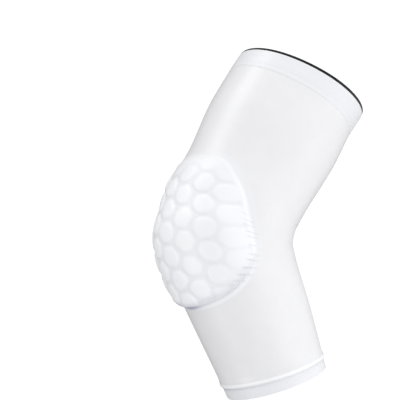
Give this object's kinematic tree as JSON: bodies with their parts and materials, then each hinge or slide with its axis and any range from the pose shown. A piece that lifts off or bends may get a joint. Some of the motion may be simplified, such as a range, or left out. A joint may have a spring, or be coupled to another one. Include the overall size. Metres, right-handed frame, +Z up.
{
  "type": "padded elbow compression sleeve",
  "caption": "Bent knit sleeve for the arm, open at both ends, with a folded hem at each mouth, a dark grip band in the upper one and a pad of raised hexagons over the elbow.",
  "frame": {"origin": "on the sleeve's centreline at the middle of the bend, where the elbow sits", "axes": "+Z up the worn arm; -X toward the point of the elbow and the pad, +X toward the crook; Y across the arm, the bend lying in the XZ plane"},
  "size_m": [0.1838, 0.1016, 0.282],
  "materials": {
    "knit": "smooth stretch knit, soft sheen",
    "hem_knit": "folded and stitched stretch knit",
    "elastic": "woven elastic, matt",
    "pad_facing": "fine knit over moulded foam"
  },
  "bodies": {
    "root": {"sleeve_body": "knit", "upper_hem": "hem_knit", "lower_hem": "hem_knit", "grip_band": "elastic", "honeycomb_pad": "pad_facing"}
  },
  "joints": []
}
